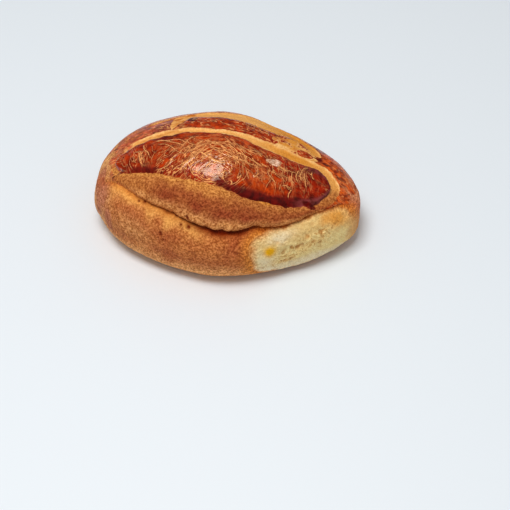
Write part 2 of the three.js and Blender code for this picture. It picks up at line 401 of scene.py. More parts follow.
def draw_crack(random, start, heading, length, bow, half_width):
    """Points along one wavering crack, thin at both ends: rows of x, across, heading, half width."""
    steps = max(int(length / CRACK_STEP), FEWEST_STEPS)
    curve = -8 * bow / length**2
    sway = 0.0
    place = np.array(start, float)
    rows = []
    for step in range(steps):
        share = (step + 0.5) / steps
        sway = SWAY_KEPT * sway + random.normal(0, CRACK_SWAY)
        direction = heading + curve * length * (share - 0.5) + sway
        place = place + CRACK_STEP * np.array([math.cos(direction), math.sin(direction)])
        taper = min(1, CRACK_TAPER * share, CRACK_TAPER * (1 - share))
        rows.append((*place, direction, half_width * taper))
    return rows


def craze(fans, seed):
    """Points along every crack of some fans, each fan a row of cracks side by side, some forked."""
    random = np.random.default_rng(seed)
    rows = []
    for count, middle_x, middle_across, spread, heading, length, bow in fans:
        along = heading_of(heading)
        beside = np.array([-along[1], along[0]])
        for n in range(count):
            jitter = random.uniform(-CRACK_JITTER, CRACK_JITTER) * 2 * spread / count
            offset = spread * (2 * (n + 0.5) / count - 1) + jitter
            own_length = length * random.uniform(*CRACK_LENGTHS)
            own_heading = math.radians(heading + random.normal(0, CRACK_SCATTER))
            shove = random.uniform(-CRACK_SHOVE, CRACK_SHOVE) * length
            half_width = random.uniform(*CRACK_HALF_WIDTH)
            start = (middle_x, middle_across) + offset * beside + (shove - own_length / 2) * along
            crack = draw_crack(random, start, own_heading, own_length, bow, half_width)
            rows += crack
            fork = crack[int(random.uniform(*FORK_PLACE) * len(crack))]
            fork_heading = fork[2] + math.radians(random.uniform(*FORK_TURN)) * random.choice((-1, 1))
            if random.uniform() < FORK_CHANCE:
                fork_length = FORK_SIZE.length * own_length
                fork_width = FORK_SIZE.width * half_width
                rows += draw_crack(random, fork[:2], fork_heading, fork_length, 0, fork_width)
    return np.array(rows)


def trace_cracks(cracks):
    """Signed distance to the nearest crack, plain distance and its half width, in mm, at each point."""
    tree = KDTree(len(cracks))
    for n, crack in enumerate(cracks):
        tree.insert((crack[0], crack[1], 0), n)
    tree.balance()
    traced = np.full((*x.shape, 3), (NO_CRACK, NO_CRACK, 0.0))
    for i, j in np.argwhere(above > 0):
        _, n, far = tree.find((x[i, j], across[i, j], 0))
        near_x, near_across, heading, half_width = cracks[n]
        side = (across[i, j] - near_across) * math.cos(heading) - (x[i, j] - near_x) * math.sin(heading)
        traced[i, j] = (side, far, half_width)
    return traced


def crack_ridge(traced):
    """A raised thread along each crack with a shallow groove on either side of it."""
    side, far, half_width = np.moveaxis(traced, -1, 0)
    groove = GROOVE.depth * np.exp(-(((np.abs(side) - GROOVE.beside) / GROOVE.width) ** 2))
    thread = np.exp(-((side / THREAD.width) ** 2)) - groove
    return thread * np.minimum(1, half_width / THREAD.full_half_width) * (far < THREAD.reach)


cracks = trace_cracks(craze(CRACK_FANS, 41))
cross_cracks = trace_cracks(craze(CROSS_FANS, 42))
crack_relief = THREAD.height * (crack_ridge(cracks) + crack_ridge(cross_cracks))


# ---------- Egg glaze
# The top was brushed with beaten egg before it was slashed, so the film covers the lobe, the strip
# between the slashes and the ends, down to a ragged lower edge. At the right the strip broke up.
FILM_SOFTNESS = 0.3  # mm over which the film ends
STRIP_BREAK = Sizes(start=15.5, end=20.0, size=1.8, stretch=(0.45, 1, 1), depth=2.4, whole=6.0)
FINE_BREAK = Sizes(size=1.1, share=0.45)
WASH = Sizes(height=22.0, slope=0.5, rags=((9.0, 4.0), (3.5, 2.0)))
LEFT_WASH = Sizes(fade=(-43.0, -46.5), reach=12.0, softness=1.0)
REAR = Sizes(rim=3.0, rag_size=5.0, rag=1.4, right=(36, 42), left=(-37, -43), reach=20.0)
GOLD_GAPS = (  # between pieces of the strip; the left one widens towards the back
    Sizes(left=-28.0, right=-26.0, flare=7.0, rounding=2.0),
    Sizes(left=33.0, right=39.5, flare=0.0, rounding=3.0),
)
GAP_OVERLAP = 1.0
LAST_PIECE = (33.6, 7.4, 3.4, 2.0)  # x, across from the ridge, reach along the bun, reach across it
DARK_SPOTS = (  # each given like the last piece
    (38.6, -20.2, 2.8, 1.3),
    (27.6, -24.2, 2.4, 1.2),
    (40.1, 7.4, 2.3, 1.0),
    (43.9, 5.8, 2.4, 0.8),
    (-46.0, -13.6, 1.6, 1.0),
    (-48.6, -14.4, 1.1, 0.6),
    (-18.6, 16.2, 2.4, 2.6),
)
BARE_FLAKE = Sizes(x=21.6, across=-5.9, reach_x=3.4, reach_across=2.1, rag_size=1.5, rag=0.3)


def inside(edge, softness=FILM_SOFTNESS):
    """1 inside a patch and 0 outside it, from the distance inside its edge."""
    return ease(-softness, softness, edge)


def spot_radius(spot_x, spot_across, reach_x, reach_across):
    """0 in the middle of a small ragged spot and 1 at its edge."""
    along = (x + wander_x - spot_x) / reach_x
    return np.hypot(along, (across + wander_up - spot_across) / reach_across)


def spot_edge(spot_x, spot_across, reach_x, reach_across):
    """How far inside a small ragged spot a point lies."""
    return (1 - spot_radius(spot_x, spot_across, reach_x, reach_across)) * min(reach_x, reach_across)


def gap_edge(gap):
    """How far inside a golden gap between two pieces of the strip a point lies."""
    strip_share = np.clip((distance - cut.band_back) / (cut.strip_back - cut.band_back), 0, 1)
    ends = Sizes(left=gap.left, right=gap.right + gap.flare * strip_share, rounding=gap.rounding)
    front = cut.band_back - GAP_OVERLAP
    back = cut.strip_back + GAP_OVERLAP
    return inside_patch(x + wander_x, distance + wander_up, front, back, ends)


broken = lumps(plain * STRIP_BREAK.stretch, STRIP_BREAK.size, 51)
broken += FINE_BREAK.share * lumps(plain, FINE_BREAK.size, 52)
broken = np.maximum(STRIP_BREAK.depth * broken, spot_edge(*LAST_PIECE))
broken += STRIP_BREAK.whole * ease(STRIP_BREAK.end, STRIP_BREAK.start, x)
strip_edge = np.minimum(opened.strip, broken)

wash_edge = WASH.slope * (height - WASH.height + rough(plain, WASH.rags, 53))
left_wash = LEFT_WASH.reach * ease(*LEFT_WASH.fade, x + wander_x)
left_wash *= inside(distance - cut.roll_top, LEFT_WASH.softness)
behind_strip = distance > cut.strip_back
# The film stops a little behind the second band, leaving bare the rim that takes the painted highlight.
rear_edge = np.where(behind_strip, distance - cut.second_back - REAR.rim + wander_up, REAR.rim)
rear_edge += REAR.rag * lumps(plain, REAR.rag_size, 59) * behind_strip
rear_edge += REAR.reach * (ease(*REAR.right, x) + ease(*REAR.left, x))
gold_gap = np.maximum.reduce([gap_edge(gap) for gap in GOLD_GAPS])
outer_edge = np.minimum.reduce(
    [above, left_wash - opened.opening, -opened.strip, -opened.second, wash_edge, rear_edge, -gold_gap]
)
dark_spot = np.maximum.reduce([spot_edge(*place) for place in DARK_SPOTS])
glaze_edge = np.maximum.reduce([opened.lobe, strip_edge, outer_edge, dark_spot])
flake = 1 - spot_radius(BARE_FLAKE.x, BARE_FLAKE.across, BARE_FLAKE.reach_x, BARE_FLAKE.reach_across)
flake += BARE_FLAKE.rag * lumps(plain, BARE_FLAKE.rag_size, 58)
glaze_edge = np.minimum(glaze_edge, -flake * BARE_FLAKE.reach_across)
glazed = inside(glaze_edge)


# ---------- Wrinkles and fine strokes
# Between its cracks the film is wrinkled like the skin on milk and finely scored: slantwise at the
# left, in rings round one eye near the front, down the right and nearly along the bun on top.
EYE = Sizes(x=-4.0, across=-15.0, reach=9.0)
WRINKLES = Sizes(long=3.6, short=0.62, high=0.045, slant=50.0, turn_at=(-9.0, -3.0))
WRINKLE_SHARE = Sizes(everywhere=0.35, at_eye=1.2)
FILM_SWELL = Sizes(size=2.4, high=0.05)
STROKE_LENGTH = 9.0
STROKE_GAP = 2.0
LEFT_HEADING = 48
SIDE_HEADING = 106
RUN_HEADING = 167
LEFT_SPAN = (-30, 7)
RING = Sizes(radius=11, width=6)


def turned_to(heading):
    """How far along and beside a heading each point lies, in degrees from the bun's length."""
    cos, sin = heading_of(heading)
    return x * cos + across * sin, across * cos - x * sin


def wrinkled(along, beside, seed):
    """Wrinkles that run along the first of two directions."""
    return lumps(np.stack([along / WRINKLES.long, beside / WRINKLES.short, 0 * x], axis=-1), 1, seed)


def strokes(along, beside, share, seed):
    """What the finish needs for fine strokes: places along and beside them and how strong they are."""
    return np.stack([along / STROKE_LENGTH + seed, beside / STROKE_GAP, share], axis=-1)


from_eye = np.hypot(x - EYE.x, across - EYE.across)
round_eye = np.arctan2(across - EYE.across, x - EYE.x) * EYE.reach
turned = ease(*WRINKLES.turn_at, x)
wrinkles = wrinkled(*turned_to(WRINKLES.slant), 55) * (1 - turned)
wrinkles += wrinkled(round_eye, from_eye, 56) * turned
wrinkles *= WRINKLE_SHARE.everywhere + WRINKLE_SHARE.at_eye * np.exp(-((from_eye / EYE.reach) ** 2))

left_share = (spot(-20, -14, 12, 9) + spot(-5, -14, 9, 8)) * ease(-32, -28, x) * ease(7, 4, x)
side_share = 0.6 * (ease(9, 15, x) * spot(24, -11, 15, 8) + spot(-38, -9, 9, 7))
side_share *= ease(-28, -32, x) + ease(7, 10, x)
left_strokes = strokes(*turned_to(LEFT_HEADING), left_share, 3)
side_strokes = strokes(*turned_to(SIDE_HEADING), side_share, 17)
at_left = (x > LEFT_SPAN[0]) & (x < LEFT_SPAN[1])
fine_strokes = np.where(at_left[..., None], left_strokes, side_strokes)
end_share = np.maximum(0.5 * ease(42, 47, x), 0.8 * ease(-44, -49, x))
strip_share = 0.65 * ease(0, 1, opened.strip)
outer_share = np.maximum.reduce([spot(-30, 12, 15, 7), end_share, strip_share])
run_strokes = strokes(*turned_to(RUN_HEADING), spot(6, -8, 24, 7) + outer_share, 31)
ring_share = np.exp(-(((from_eye - RING.radius) / RING.width) ** 2)) * ease(-24, -16, x) * ease(16, 8, x)
arc_strokes = strokes(round_eye, from_eye, ring_share, 53)
glaze_relief = WRINKLES.high * wrinkles + FILM_SWELL.high * lumps(plain, FILM_SWELL.size, 57) + crack_relief


# ---------- Crust skin
# The skin of the bun: all the relief above stands square to the dough, dies out towards the tray
# and the tips, and is joined into one closed mesh with a few pinholes, loose crumbs and a slit.
PINHOLES = (  # x, distance above the crease, radius, depth
    (-15.2, -3.9, 0.55, 1.0),
    (-14.2, -5.0, 0.40, 0.7),
    (-11.8, -3.4, 0.75, 1.3),
    (-23.6, -10.6, 0.65, 1.0),
    (-22.4, -12.6, 0.50, 0.9),
    (-12.3, 2.4, 0.60, 0.9),
    (-9.6, 1.0, 0.70, 1.0),
    (-36.0, -1.6, 0.45, 0.6),
    (-33.4, -0.9, 0.60, 0.8),
)
PINHOLE_SHADE_STRENGTH = 1.7
EDGE_CRUMBS = (  # x, distance above the crease, radius
    (17.4, 11.4, 0.9),
    (19.6, 11.2, 1.2),
    (22.0, 10.6, 0.8),
    (24.6, 10.4, 0.6),
)
CRUMB_HEIGHT = 0.5  # of a crumb's radius
SLIT = (-20.1, 20.1, 2.4, 1.0)  # x, across from the ridge, reach along the bun, reach across it
SLIT_DEPTH = 1.0
CALM_CREASE = Sizes(reach=3.0, share=0.6)  # where the bulges are held back
LIP_FLAKES = Sizes(stretch=(1, 0.5, 0.5), size=1.6, height=0.35, reach=1.6)
FADE_ROUNDNESS = 0.35
FADE_HEIGHT = 7.0

calm = CALM_CREASE.share * np.exp(-((above / CALM_CREASE.reach) ** 2))
relief = rough(plain, BULGES, 61) * (1 - calm)
# Each pinhole is a pit in the skin; its mask also places the painted shade that darkens it.
pinhole_shade = np.zeros_like(x)
for hole_x, hole_above, radius, depth in PINHOLES:
    hole = spot(hole_x, hole_above, radius, radius, above)
    relief -= depth * hole
    pinhole_shade = np.maximum(pinhole_shade, np.minimum(1, PINHOLE_SHADE_STRENGTH * hole))
edge_crumb = np.zeros_like(x)
for crumb_x, crumb_above, radius in EDGE_CRUMBS:
    crumb = spot(crumb_x, crumb_above, radius, radius, above)
    relief += CRUMB_HEIGHT * radius * crumb
    edge_crumb = np.maximum(edge_crumb, crumb)
slit = spot(*SLIT)
relief -= SLIT_DEPTH * slit
relief += rough(plain, CRUST_GRAIN, 63) * (1 - glazed) * (1 - torn) + glaze_relief * glazed
relief += torn * torn_relief - TORN_DEPTH * torn_dent
lip_flakes = LIP_FLAKES.height * lumps(plain * LIP_FLAKES.stretch, LIP_FLAKES.size, 65)
relief += lip_flakes * np.exp(-((above / LIP_FLAKES.reach) ** 2)) * (1 - torn)
fade = ease(0, FADE_ROUNDNESS, dough.fullness) * ease(0, FADE_HEIGHT, height)


def raise_skin(rise, slip):
    """The plain dough raised square to itself and slipped round its section, in mm."""
    raised = plain + outward * (rise * fade)[..., None] + upward * (slip * fade)[..., None]
    raised[..., 2] = np.maximum(raised[..., 2], 0)
    return raised


skin = raise_skin(opened.rise + relief, opened.slip)

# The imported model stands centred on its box, so the skin is set over the same middle.
packed = open_slashes(dough, mark_slashes(dough), x, distance)
packed_skin = raise_skin(packed.rise - TORN_DEPTH * torn_dent, packed.slip)
solid_low, solid_high = (np.array(corner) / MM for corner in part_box("pogaca_bun"))
shift = (solid_low + solid_high) / 2 - (packed_skin.min(axis=(0, 1)) + packed_skin.max(axis=(0, 1))) / 2
shift[2] = 0


def lay_faces():
    """Every face as the numbers of its points, and the column and row of each corner in turn."""
    ring = np.arange(ROWS)
    inner = np.arange(1, COLUMNS - 2)[:, None]
    last = COLUMNS - 1
    quads = (inner, inner + 1, inner + 1, inner), (ring, ring, ring + 1, ring + 1)
    left_fan = (0, 1, 1), (ring + 0.5, ring, ring + 1)
    right_fan = (last, last - 1, last - 1), (ring + 0.5, ring + 1, ring)
    faces = []
    corners = []
    for columns, rows in (quads, left_fan, right_fan):
        places = [np.stack(np.broadcast_arrays(*place), axis=-1) for place in zip(columns, rows)]
        places = np.stack(places, axis=-2).reshape(-1, len(columns), 2)
        column, row = np.moveaxis(places.astype(int), -1, 0)
        number = 1 + (column - 1) * ROWS + row % ROWS
        faces += np.clip(number, 0, 1 + (last - 1) * ROWS).tolist()
        corners.append(places.reshape(-1, 2))
    return faces, np.concatenate(corners)


def add_object(name, data):
    """An object in the scene made of a mesh, a lamp or a camera."""
    added = bpy.data.objects.new(name, data)
    bpy.context.scene.collection.objects.link(added)
    return added


faces, corners = lay_faces()
left_tip = np.array([[-BUN_LENGTH / 2, 0, WAIST_HEIGHT]])
right_tip = left_tip * (-1, 1, 1)
points = (np.concatenate([left_tip, skin[1:-1].reshape(-1, 3), right_tip]) + shift) * MM
crust_mesh = bpy.data.meshes.new("pogaca_crust")
crust_mesh.from_pydata(points.tolist(), [], faces)
crust_mesh.shade_smooth()
crust = add_object("pogaca_crust", crust_mesh)


# ---------- Toasted wall
# Colour follows heat and cover. The bare wall toasted to a patchy reddish brown, paler at its foot
# and at both ends, and stayed golden under the left of the crease. The pale rim behind the glaze is
# a painted highlight.
def baked(red, green, blue):
    """Linear colour from the usual 0 to 255 values."""
    value = np.array([red, green, blue]) / 255
    return np.where(value <= 0.04045, value / 12.92, ((value + 0.055) / 1.055) ** 2.4)


def one_tone(colour):
    """A tone for every point of the skin, the same all over."""
    return np.broadcast_to(colour, skin.shape).copy()


def paint(tone, colour, cover):
    """Lay a colour over a tone, none of it where the cover is 0 and all of it where it is 1."""
    tone += (colour - tone) * np.clip(cover, 0, 1)[..., None]


WALL_BROWN = baked(195, 115, 55)
WALL_REDDISH = baked(175, 89, 42)
WALL_FOOT = baked(246, 177, 104)
LEFT_END = baked(230, 168, 98)
LEFT_STREAK = baked(176, 98, 70)
REAR_RIM_HIGHLIGHT = baked(228, 174, 140)
RIGHT_END = baked(222, 140, 92)
RIGHT_FOOT = baked(255, 212, 166)
GOLDEN_SKIN = baked(236, 169, 86)
PATCH_SIZE = 11
MOTTLE_SIZE = 4.2
FRECKLE_SIZE = 1.9

patches = lumps(plain, PATCH_SIZE, 71)
mottle = lumps(plain, MOTTLE_SIZE, 72)
freckle = lumps(plain, FRECKLE_SIZE, 73)
crust_tone = one_tone(WALL_BROWN)
paint(crust_tone, WALL_REDDISH, 0.45 + 0.6 * patches + 0.35 * mottle + 0.25 * freckle)
paint(crust_tone, WALL_REDDISH, 0.7 * spot(-38, -9, 8, 5, above))
paint(crust_tone, LEFT_END, 0.8 * ease(-46, -56, x + 3 * mottle))
paint(crust_tone, LEFT_END, 0.4 * spot(-38, -15, 9, 6, above))
left_streaks = ease(-0.1, 0.5, lumps(plain * (1, 0.25, 0.25), 2.2, 74))
paint(crust_tone, LEFT_STREAK, 0.75 * left_streaks * ease(-44, -50, x))
# A pale rim just behind the second band: painted highlight.
behind = distance - cut.second_back
rear_rim_highlight = ease(0, 1.5, behind) * ease(8, 3, behind)
paint(crust_tone, REAR_RIM_HIGHLIGHT, 0.85 * rear_rim_highlight * ease(42, 36, x) * ease(-44, -38, x))
paint(crust_tone, RIGHT_END, 0.8 * ease(50, 57, x + 2 * mottle))
right_foot = ease(48, 53, x + mottle) * ease(-3, -9, above)
paint(crust_tone, RIGHT_FOOT, right_foot)
golden_skin = ease(-54, -46, x) * ease(2, -14, x) * ease(-9, -1.5, above + 3 * mottle) * (above < 1)
paint(crust_tone, GOLDEN_SKIN, golden_skin)
paint(crust_tone, WALL_FOOT, 0.85 * ease(16, 5.5, height + 2 * mottle))


# ---------- Toasted roll
# The dough that welled out of the widest slash is bare and matte. It went purplish brown across its
# middle, more so to the right, golden behind at the left, and its lip over the crease stayed pale.
ROLL_TAN = baked(186, 112, 50)
ROLL_PURPLE = baked(144, 62, 28)
ROLL_GOLD = baked(214, 142, 64)
ROLL_LIP = baked(217, 148, 82)

lobe_middle = (cut.roll_top + cut.lobe_back) / 2
beside_lobe = np.minimum(opened.opening, -opened.lobe)
roll = ease(-0.2, 0.6, beside_lobe) * (distance < lobe_middle)
roll_share = np.clip((distance - cut.crease) / np.maximum(cut.roll_top - cut.crease, 1), 0, 1)
purple = half_wave(roll_share + 0.14 * mottle + 0.08 * freckle, 0.05, 0.82)
purple *= ease(-42, -20, x + 6 * patches) * (1 - 0.25 * ease(8, 22, x))
roll_gold = ease(0.72, 0.95, roll_share + 0.1 * mottle) * ease(8, 0, x)
paint(crust_tone, ROLL_TAN, roll)
paint(crust_tone, ROLL_PURPLE, roll * purple * (0.9 + 0.25 * mottle))
paint(crust_tone, ROLL_GOLD, 0.7 * roll * roll_gold)
paint(crust_tone, ROLL_LIP, 0.9 * roll * ease(0.40, 0.10, roll_share + 0.05 * mottle))


# ---------- Golden bands
# The narrow slashes and the gaps in the strip between them show opened dough, baked golden, deeper
# to the right and blotched with ochre, with a painted highlight along the edge of the glaze.
BAND_GOLD = baked(238, 172, 92)
BAND_GOLD_RIGHT = baked(220, 144, 50)
BAND_EDGE_HIGHLIGHT = baked(252, 204, 132)
BAND_OCHRE = baked(200, 108, 26)
BAND_LEFT_END = (-48.5, -44.5)

band = inside(beside_lobe) * inside(distance - lobe_middle, 3) * ease(*BAND_LEFT_END, x + wander_x)
on_strip = inside(opened.strip, 0.5)
bare_strip = inside(opened.strip, 0.2) * (glaze_edge < 0)
band = np.maximum.reduce([band, inside(opened.second), bare_strip, inside(gold_gap)])
left_gap = ease(-46, -38, x) * ease(-17, -20, x)
left_gap *= 0.5 + 0.5 * inside(distance - cut.band_back, 1)
band_tone = one_tone(BAND_GOLD)
paint(band_tone, BAND_GOLD_RIGHT, ease(5, 30, x) * (1 - 0.65 * ease(33, 44, x)))
paint(band_tone, BAND_OCHRE, on_strip * (0.5 + 1.3 * freckle + 0.7 * lumps(plain, 1.0, 75)))
paint(band_tone, BAND_OCHRE, left_gap * (0.3 + 1.4 * lumps(plain * (0.3, 1, 1), 1.1, 82)))
paint(crust_tone, band_tone, band)
# Painted highlight on the band along the edge of the glaze.
paint(crust_tone, BAND_EDGE_HIGHLIGHT, band * ease(-1.3, -0.4, glaze_edge) * (0.55 + 0.5 * mottle))


# ---------- Torn crumb
# Inside the torn side's orange rim the crumb is cream, fibrous across a slanting middle, golden at
# the right and nearly white at the foot, with one yellow spot. Its darker tan top is painted shade
# under the crease.
RIM_ORANGE = baked(212, 128, 44)
CRUMB_CREAM = baked(252, 226, 156)
CRUMB_TOP_SHADE = baked(228, 188, 118)
CRUMB_TORN = baked(252, 212, 136)
CRUMB_PIT = baked(206, 138, 62)
CRUMB_WHITE = baked(250, 234, 196)
CRUMB_YELLOW = baked(250, 184, 10)
CRUMB_GOLD = baked(238, 156, 50)
CRUMB_SLANT = Sizes(x=37, above=-14.5, slope=0.42, reach_x=14, reach_above=4.6)
FIBRE_STRETCH = (0.35, 1, 1.5)
FINE_FIBRE_STRETCH = (0.5, 1, 1.3)
WHITE_SPOTS = ((0.7, (28, -5.5, 5.5, 2.6)), (0.8, (22, -17, 4, 5)))  # how strong, and the spot
YELLOW_SPOT = (23.9, -11.2, 2.3, 2.4)

rim = ease(1.35, 1.0, torn_radius + 0.1 * mottle) * (above < 0.5)
fibres = lumps(plain * FIBRE_STRETCH, 1.3, 76) + 0.6 * lumps(plain * FINE_FIBRE_STRETCH, 0.8, 77)
slanting = above - CRUMB_SLANT.slope * (x - CRUMB_SLANT.x)
crumb_middle = spot(CRUMB_SLANT.x, CRUMB_SLANT.above, CRUMB_SLANT.reach_x, CRUMB_SLANT.reach_above, slanting)
white_crumb = sum(strong * spot(*place, above) for strong, place in WHITE_SPOTS)
white_crumb += 0.8 * ease(-19, -24, above)
gold_crumb = ease(42, 50, x + 3 * mottle) * ease(-13, -5, above + 2 * mottle)
paint(crust_tone, RIM_ORANGE, 0.9 * rim)
paint(crust_tone, CRUMB_CREAM, torn)
# Darker tan near the top of the torn face: painted shade under the roll's lip.
paint(crust_tone, CRUMB_TOP_SHADE, 0.8 * torn * ease(-13, -6, above + mottle))
paint(crust_tone, CRUMB_TORN, torn * (0.35 * crumb_middle + 0.9 * crumb_middle * fibres + 0.25 * fibres))
paint(crust_tone, CRUMB_PIT, torn * ease(0.15, 0.6, pores) * (0.3 + 0.7 * crumb_middle))
paint(crust_tone, CRUMB_WHITE, torn * white_crumb)
paint(crust_tone, CRUMB_YELLOW, 1.5 * torn * spot(*YELLOW_SPOT, above))
paint(crust_tone, CRUMB_GOLD, 0.8 * torn * gold_crumb)


# ---------- Crease, holes and bare flake
# Painted shade darkens the crease and the pinholes to a reddish brown and warms the dough either
# side of the crease. A flake of the film came off near the right, greyish underneath, a few golden
# crumbs hang on the lobe's edge, and the underside is evenly brown.
CREASE_SHADE_BROWN = baked(118, 36, 2)
CREASE_SHADE_WARMTH = np.array((1.0, 0.74, 0.48))
FLAKE_GREY = baked(222, 178, 142)
UNDER_BROWN = baked(150, 92, 48)
ALL_ROUND = 1e6  # a reach in mm that makes a spot into a stripe right round the bun

# Painted shade under the roll's lip and deep in the crease, fading towards the tips.
lip_shade = np.exp(-(((above + 0.5) / 1.3) ** 2)) * (0.6 + 0.3 * spot(-20, 0, 14, ALL_ROUND))
deep_shade = 1.15 * np.exp(-(((above + 1.4) / 2.1) ** 2)) * spot(2, 0, 20, ALL_ROUND)
shade = np.maximum(lip_shade, deep_shade)
shade *= ease(-48, -26, x) * 0.65 + 0.35 * ease(-53, -48, x)
shade *= ease(54, 50, x)
# Painted shade in and near the crease is warmed towards red.
warm_shade = 0.8 * np.exp(-(((above + 0.4) / 2.4) ** 2)) * (1 - torn)
paint(crust_tone, CREASE_SHADE_BROWN, 0.9 * shade * (1 - 0.6 * torn))
crust_tone *= 1 + (CREASE_SHADE_WARMTH - 1) * warm_shade[..., None]
# Painted shade inside the pinholes.
paint(crust_tone, CREASE_SHADE_BROWN, pinhole_shade * (above < 6))
paint(crust_tone, FLAKE_GREY * (1 + 0.25 * freckle)[..., None], ease(-0.2, 0.3, flake))
paint(crust_tone, CRUMB_GOLD, 0.8 * edge_crumb * (1 - glazed))
paint(crust_tone, UNDER_BROWN, ease(1.0, 0.0, height))


# ---------- Colour of the egg film
# The film baked mahogany, almost black where egg pooled along the lobe's front and at its right
# end, purplish along that end's rim, and lighter on the bun's ends and over its back.
GLAZE_BACK = baked(160, 72, 28)
GLAZE_END = baked(196, 90, 54)
GLAZE_RIGHT_END = baked(206, 84, 12)
GLAZE_PURPLE = baked(128, 56, 56)
GLAZE_STRIP = baked(174, 54, 3)
GLAZE_LEFT = baked(163, 44, 0)
GLAZE_MIDDLE = baked(182, 64, 0)
GLAZE_RIGHT = baked(148, 26, 0)
GLAZE_POOLED = baked(97, 4, 0)
DASH_STRETCH = (0.35, 1, 1)

glaze_tone = one_tone(GLAZE_BACK)
paint(glaze_tone, GLAZE_END, ease(-20, -34, x))
paint(glaze_tone, GLAZE_RIGHT_END, ease(38, 46, x))
paint(glaze_tone, GLAZE_PURPLE, 0.7 * ease(0.0, 0.5, mottle) * spot(-34, 12, 12, 7))
paint(glaze_tone, GLAZE_STRIP, on_strip)

on_lobe = ease(-0.8, 0.2, opened.lobe)
lobe_tone = one_tone(GLAZE_LEFT)
paint(lobe_tone, GLAZE_MIDDLE, spot(-2, -9, 22, 10))
paint(lobe_tone, GLAZE_RIGHT, 0.85 * ease(12, 34, x + 3 * mottle))
paint(lobe_tone, GLAZE_MIDDLE, 0.8 * spot(19, -17, 10, 5))
paint(glaze_tone, lobe_tone, on_lobe)

front_pool = ease(5.2, 2.0, distance - cut.roll_top + 0.8 * mottle)
front_pool *= ease(-6, 0, x) + 0.9 * spot(-34, 0, 11, ALL_ROUND)
right_pool = ease(5.4, 1.0, opened.lobe + 0.7 * mottle) * ease(33, 41, x)
left_pool = 0.95 * ease(4.0, 1.5, opened.lobe + 0.6 * mottle) * spot(-27, 1.5, 8, 5)
thin_pool = 0.3 * ease(1.3, 0.3, opened.lobe + 0.4 * mottle)
pool = np.maximum.reduce([front_pool, right_pool, left_pool, thin_pool])
strip_pool = 0.2 * ease(1.4, 0.3, strip_edge + 0.4 * mottle) * (strip_edge > -0.5)
purple_rim = ease(3.4, 1.8, opened.lobe + 0.5 * mottle) * ease(30, 37, x) * ease(1, -4, across) * on_lobe
dashes = ease(0.1, 0.5, lumps(plain * DASH_STRETCH, 1.0, 81)) * (1 - on_lobe)
paint(glaze_tone, GLAZE_POOLED, pool * on_lobe)
paint(glaze_tone, GLAZE_POOLED, strip_pool)
paint(glaze_tone, GLAZE_PURPLE, 0.9 * purple_rim)
paint(glaze_tone, GLAZE_POOLED, inside(dark_spot))
paint(glaze_tone, GLAZE_POOLED, slit)
paint(glaze_tone, GLAZE_POOLED, 0.6 * dashes * ease(-0.5, -1.5, opened.strip))
glaze_tone *= (1 + 0.18 * mottle + 0.12 * patches + 0.18 * freckle)[..., None]


# ---------- Cover and gloss of the egg film
# The brush left the film whole and glossy on the lobe and the strip. It is patchy towards both ends,
# duller over the back, and matte along its edges, where it is thinnest.
PATCHY = Sizes(stretch=(0.55, 1, 1), size=3.6, fine_stretch=(0.6, 1, 1), fine_size=1.5, fine=0.5)
GLOSS = Sizes(back=0.45, strip=0.9, edge=0.03, purple_rim=0.5, thin_end=0.6, pool=0.75)
CRACKLED_BACK = 0.85
EDGE_KEPT = 4  # mm from the film's edge that its finish has to know

crackled = np.maximum(on_lobe * (1 - 0.9 * ease(0.5, 0.9, pool)), on_strip)
crackled = np.maximum(crackled, CRACKLED_BACK * (1 - on_lobe) * (1 - on_strip))
full_cover = np.maximum.reduce([on_lobe, on_strip, inside(dark_spot)])
thin_end = np.maximum(ease(-38, -52, x), 0.7 * ease(50, 59, x))
patchy = lumps(plain * PATCHY.stretch, PATCHY.size, 78)
patchy += PATCHY.fine * lumps(plain * PATCHY.fine_stretch, PATCHY.fine_size, 79)
cover = np.clip(1 + thin_end * (3.0 * patchy - 0.6 - 0.5 * ease(-44, -52, x)), 0, 1)
cover = np.maximum(cover, full_cover)
gloss = np.clip(on_lobe + GLOSS.strip * on_strip + GLOSS.back, 0, 1)
gloss *= 1 - GLOSS.thin_end * ease(0, 1, thin_end) * (1 - full_cover)
gloss *= 1 - GLOSS.purple_rim * purple_rim
gloss *= GLOSS.edge + (1 - GLOSS.edge) * ease(0.4, 1.8, glaze_edge)
gloss *= 1 - GLOSS.pool * pool * on_lobe
crumbly = torn * np.clip(1.5 * crumb_middle + 0.12, 0, 1)
speckle = np.ones_like(x)
smoother = ((0.6, right_foot), (0.75, band), (0.75, torn), (0.6, golden_skin), (0.5, np.minimum(shade, 1)))
for share, place in smoother:
    speckle *= 1 - share * place


def store(name, values):
    """Keep values on the grid as an attribute of the skin's points; a tip takes its section's mean."""
    inner = values[1:-1].reshape(-1, *values.shape[2:])
    per_point = np.concatenate([values[1].mean(axis=0)[None], inner, values[-2].mean(axis=0)[None]])
    kind, slot = ("FLOAT", "value") if per_point.ndim == 1 else ("FLOAT_VECTOR", "vector")
    attribute = crust_mesh.attributes.new(name, kind, "POINT")
    attribute.data.foreach_set(slot, per_point.astype(np.float32).ravel())


store("crust_tone", crust_tone)
store("glaze_tone", glaze_tone)
store("glaze_edge", np.clip(glaze_edge, -EDGE_KEPT, EDGE_KEPT))
store("gloss", gloss)
store("cover", cover)
store("crackled", crackled)
store("speckle", np.clip(speckle, 0, 1))
store("torn", torn)
store("crack", cracks)
store("cross_crack", cross_cracks)
store("place", np.stack([x, across, 0 * x], axis=-1))
store("crumbly", crumbly)
store("fine_strokes", fine_strokes)
store("run_strokes", run_strokes)
store("arc_strokes", arc_strokes)


